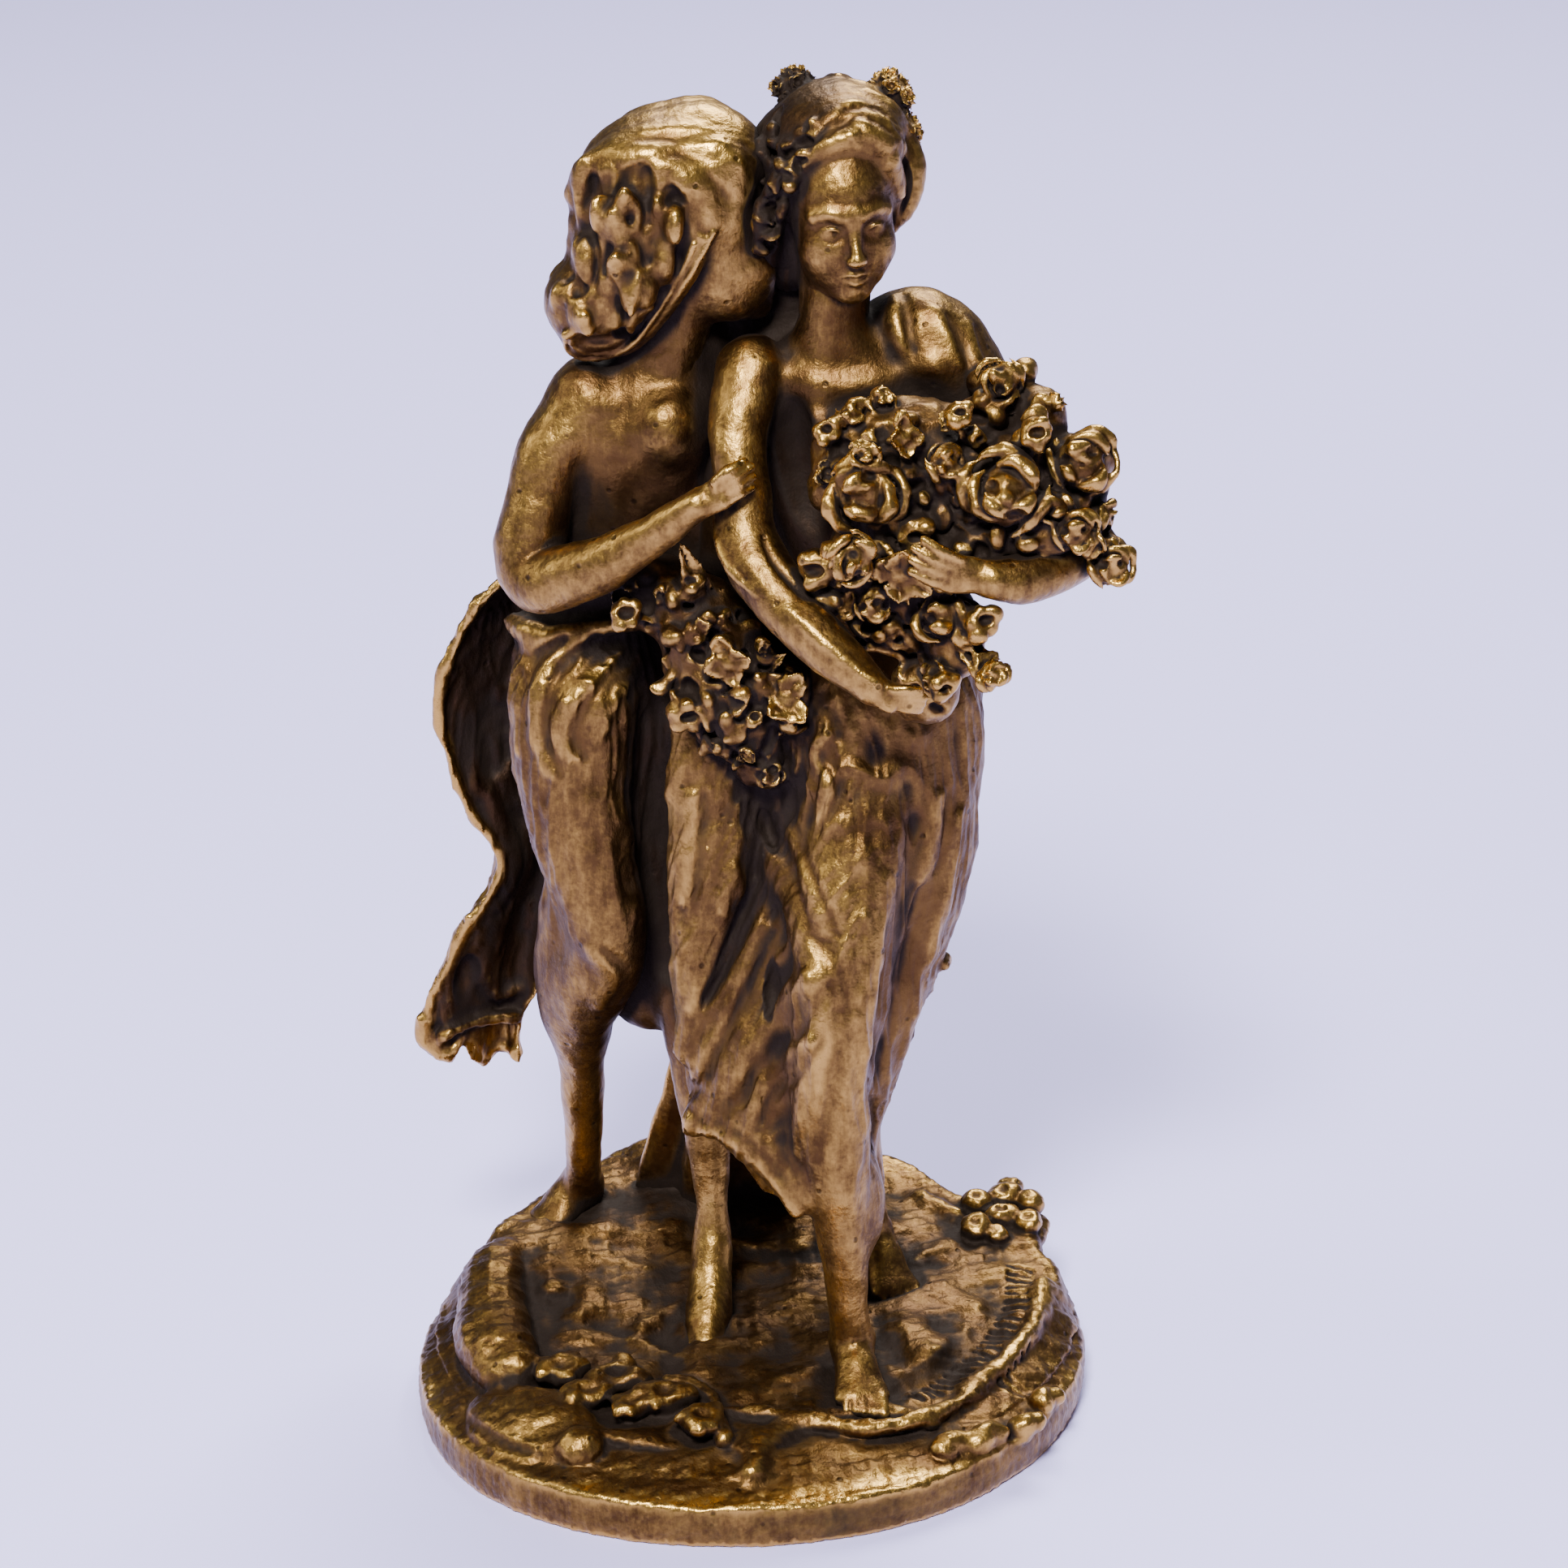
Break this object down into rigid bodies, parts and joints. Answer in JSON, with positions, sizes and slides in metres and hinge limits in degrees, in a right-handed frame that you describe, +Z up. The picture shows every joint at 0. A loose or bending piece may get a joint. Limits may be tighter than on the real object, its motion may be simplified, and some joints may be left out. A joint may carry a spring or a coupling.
{
  "type": "gilt bronze figure group",
  "caption": "Gilt bronze group of two young women walking side by side with flowers and a cloak, cast with its round ground.",
  "frame": {"origin": "middle of the flat underside of the round ground", "axes": "+Z up through the figures, -Y towards the side the figures face, +X to the right of a viewer in front"},
  "size_m": [0.1048, 0.1007, 0.2008],
  "materials": {
    "gilt_bronze": "rubbed gilding over a dark brown patina, satin"
  },
  "bodies": {
    "root": {"figure_group": "gilt_bronze"}
  },
  "joints": []
}
